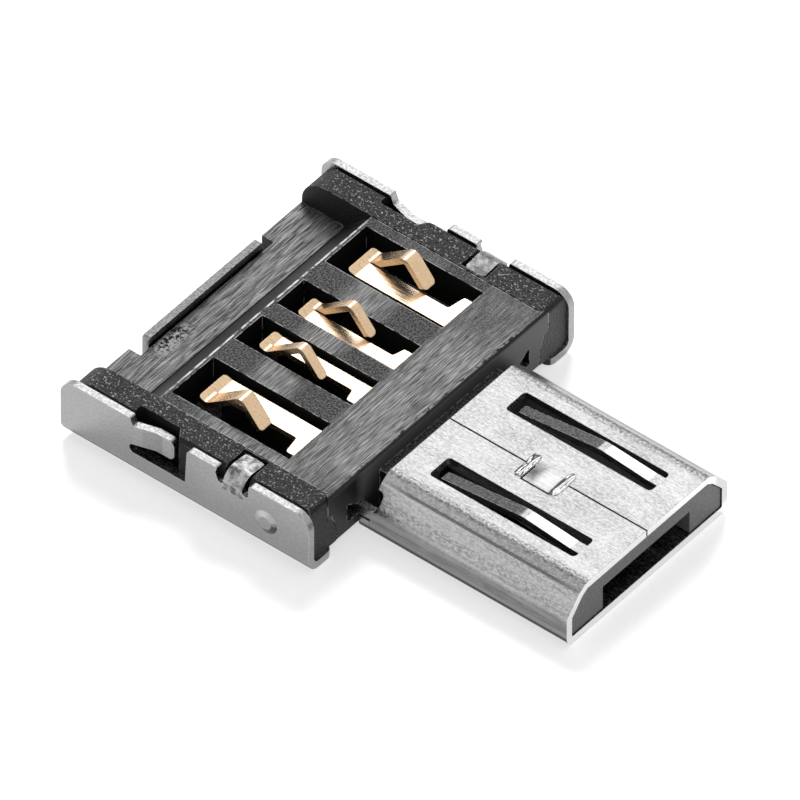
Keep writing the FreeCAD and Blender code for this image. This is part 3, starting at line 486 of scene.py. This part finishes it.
def make_brushed_plastic():
    """Black moulding whose top was ground along Y and runs lighter than its sides partly as painted
    light, with pale broken edges.
    """
    material, tree, shader = new_material("brushed_plastic", roughness=0.42, specular_ior_level=0.25)
    upward = facing(tree, (0, 0, 1), 0.9, 0.98)
    speckle = streaks(tree, (19, 16, 16), 0.42, 0.66)
    # Lighter front face as painted light, with painted shade at its near end.
    plain = mix_colour(tree, front_face(tree), grey(0.008), grey(0.12))
    plain = mix_colour(tree, zone(tree, "block_near_end"), plain, grey(0.012))
    top = mix_colour(tree, speckle, grey(0.008), grey(0.18))
    for centre, half_size, soft in GROUND_BANDS:
        top = mix_colour(tree, within(tree, centre, half_size, soft), top, brushed(tree))
    scuffed = multiply(tree, zone(tree, "scuffed_end"), 0.7)
    top = mix_colour(tree, scuffed, top, mix_colour(tree, speckle, grey(0.02), grey(0.2)))
    # The ground top takes lighter greys than the sides: its streaks are grain, its lighter level
    # partly painted light.
    colour = mix_colour(tree, upward, plain, top)
    # Pale broken lines along convex edges: partly wear, partly painted highlight.
    edge = place_group(tree, EDGE_HIGHLIGHTS, broken=0.44, grain=4.0).outputs["Mask"]
    colour = mix_colour(tree, edge, colour, grey(0.75))
    dashes = multiply(tree, zone(tree, "rear_ridge"), streaks(tree, (3, 3, 3), 0.42, 0.54))
    colour = mix_colour(tree, dashes, colour, grey(0.9))
    nicks = multiply(tree, zone(tree, "front_edge"), streaks(tree, (5, 4, 5), 0.5, 0.56))
    colour = mix_colour(tree, nicks, colour, grey(0.005))
    tree.links.new(colour, shader.inputs["Base Color"])
    height = multiply(tree, streaks(tree, (20, 1.4, 6), 0.34, 0.7), upward)
    raise_surface(tree, shader, height, 0.012)
    return material


def make_plug_plastic():
    """Plain dark grey moulding in the plug's mouth."""
    material, tree, shader = new_material("plug_plastic", roughness=0.38, specular_ior_level=0.3)
    grain = streaks(tree, (16, 16, 16), 0.3, 0.7)
    colour = mix_colour(tree, grain, grey(0.12), grey(0.2))
    tree.links.new(colour, shader.inputs["Base Color"])
    raise_surface(tree, shader, grain, 0.003)
    return material


def make_contact_gold():
    """Gold flash over rolled strip: pale level faces, tilted faces in a browner gold as painted shade,
    and dark grey tails inside the plug.
    """
    material, tree, shader = new_material("contact_gold", metallic=1.0)
    grain = streaks(tree, (1.5, 18, 18), 0.3, 0.7)
    tilted_gold_shade = mix_colour(tree, grain, (0.6, 0.42, 0.26), (0.78, 0.58, 0.38))
    level_gold_lit = mix_colour(tree, grain, (0.8, 0.62, 0.44), (0.93, 0.78, 0.62))
    # Tilted faces, the arms among them, take a darker, browner gold than the level faces: painted
    # shade.
    colour = mix_colour(tree, facing(tree, (0, 0, 1), 0.97, 0.995), tilted_gold_shade, level_gold_lit)
    colour = mix_colour(tree, zone(tree, "contact_tails"), colour, grey(0.12))
    tree.links.new(colour, shader.inputs["Base Color"])
    tree.links.new(mix_value(tree, grain, 0.2, 0.3), shader.inputs["Roughness"])
    raise_surface(tree, shader, grain, 0.002, round_corners(tree, 0.03))
    return material


FINISHES = {
    "metal_shell": make_shell_steel(),
    "carrier": make_grained_plastic(),
    "contact_block": make_brushed_plastic(),
    "plug_insulator": make_plug_plastic(),
}
gold = make_contact_gold()
for name, piece in node.items():
    piece.data.materials.clear()
    piece.data.materials.append(FINISHES.get(name, gold))


def make_stake_mark(name, centre, half_size, seed):
    """A squashed ridge of metal that locks the seam: a squared lump with an uneven skin."""
    mesh = bpy.data.meshes.new(name)
    shape = bmesh.new()
    bmesh.ops.create_icosphere(shape, subdivisions=5, radius=1.0)
    for vertex in shape.verts:
        reach = max(abs(part) for part in vertex.co)
        swell = 1 + SWELL_DEPTH * noise.noise(vertex.co * SWELL_SCALE + Vector((seed, 0, 0)))
        along = Vector((vertex.co.x * RIDGE_SCALE_X, vertex.co.y * RIDGE_SCALE_Y, seed))
        ridge = 1 + RIDGE_DEPTH * noise.noise(along)
        block = vertex.co * (swell / reach ** SQUARING)
        block.z *= ridge
        spot = [side + part * half for side, part, half in zip(centre, block, half_size)]
        vertex.co = Vector(spot) * MM
    shape.to_mesh(mesh)
    shape.free()
    for face in mesh.polygons:
        face.use_smooth = True
    mesh.materials.append(FINISHES["metal_shell"])
    mark = bpy.data.objects.new(name, mesh)
    bpy.context.collection.objects.link(mark)
    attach(mark, "root")


def make_floor():
    """Pale floor, a hair under the object, that reads white to the camera and keeps the shadow."""
    mesh = bpy.data.meshes.new("floor")
    shape = bmesh.new()
    bmesh.ops.create_grid(shape, x_segments=1, y_segments=1, size=FLOOR_HALF)
    bmesh.ops.translate(shape, verts=shape.verts, vec=(0, 0, -FLOOR_DROP))
    shape.to_mesh(mesh)
    shape.free()
    floor = bpy.data.objects.new("floor", mesh)
    bpy.context.collection.objects.link(floor)
    material, tree, shader = new_material("floor_paper", roughness=0.9)
    shader.inputs["Base Color"].default_value = (0.86, 0.86, 0.86, 1)
    shader.inputs["Emission Color"].default_value = (1, 1, 1, 1)
    glow = multiply(tree, seen_directly(tree), FLOOR_GLOW)
    tree.links.new(glow, shader.inputs["Emission Strength"])
    mesh.materials.append(material)


def seen_directly(tree):
    """One for camera, mirror and glass rays, zero for the rays that light the object."""
    path = add_node(tree, "ShaderNodeLightPath")
    either = add_node(tree, "ShaderNodeMath", operation="MAXIMUM")
    seen = add_node(tree, "ShaderNodeMath", operation="MAXIMUM")
    tree.links.new(path.outputs["Is Camera Ray"], either.inputs[0])
    tree.links.new(path.outputs["Is Glossy Ray"], either.inputs[1])
    tree.links.new(either.outputs[0], seen.inputs[0])
    tree.links.new(path.outputs["Is Transmission Ray"], seen.inputs[1])
    return seen.outputs[0]


def make_world():
    """Even white surroundings: dim for the object, white where they are seen or mirrored."""
    world = bpy.data.worlds.new("studio")
    bpy.context.scene.world = world
    world.use_nodes = True
    tree = world.node_tree
    ground = tree.nodes["Background"]
    ground.inputs["Color"].default_value = (1, 1, 1, 1)
    strength = mix_value(tree, seen_directly(tree), AMBIENT, 1.0)
    tree.links.new(strength, ground.inputs["Strength"])


def add_softbox(name, way, distance, size, radiance, **seen):
    """A square area lamp that looks at the object from a direction."""
    lamp = bpy.data.lights.new(name, "AREA")
    lamp.size = size
    lamp.energy = radiance * math.pi * size * size
    thing = bpy.data.objects.new(name, lamp)
    back = Vector(way).normalized()
    thing.location = back * distance
    thing.rotation_euler = back.to_track_quat("Z", "Y").to_euler()
    for key, value in seen.items():
        setattr(thing, key, value)
    bpy.context.collection.objects.link(thing)


def make_lights():
    """A compact key behind the object: one lamp shades it, the other shows in its metal."""
    key = (-0.45, 0.555, 0.7)
    add_softbox("key", key, distance=0.3, size=0.11, radiance=20, visible_glossy=False)
    add_softbox("key_reflection", key, distance=0.27, size=0.11, radiance=2.0, visible_diffuse=False)


def make_camera():
    """Long-lens view fitted to the photograph: azimuth 39 degrees, elevation 44 degrees."""
    azimuth, elevation, roll = (math.radians(angle) for angle in (39.017, 44.398, 0.176))
    distance, centre_x, centre_y, focal = 1000.0, 438.315, 458.689, 37247.0
    back = Vector((math.sin(azimuth) * math.cos(elevation),
                   -math.cos(azimuth) * math.cos(elevation), math.sin(elevation)))
    level = Vector((math.cos(azimuth), math.sin(azimuth), 0))
    upward = back.cross(level)
    right = level * math.cos(roll) + upward * math.sin(roll)
    above = upward * math.cos(roll) - level * math.sin(roll)
    pixels_per_mm = focal / distance
    sideways = (centre_x - PHOTO_SIDE / 2) / pixels_per_mm
    upwards = (PHOTO_SIDE / 2 - centre_y) / pixels_per_mm
    eye = (back * distance - right * sideways - above * upwards) * MM
    data = bpy.data.cameras.new("camera")
    data.sensor_width = SENSOR
    data.lens = SENSOR * focal / PHOTO_SIDE
    camera = bpy.data.objects.new("camera", data)
    turn = Matrix((right, above, back)).transposed().to_4x4()
    camera.matrix_world = Matrix.Translation(eye) @ turn
    bpy.context.collection.objects.link(camera)
    bpy.context.scene.camera = camera


for name, (place_x, seed) in STAKES.items():
    make_stake_mark(name, (place_x, STAKE_Y, SEAM_TOP), STAKE_HALF, seed)
make_floor()
make_world()
make_lights()
make_camera()
bpy.context.scene.view_settings.view_transform = "Standard"
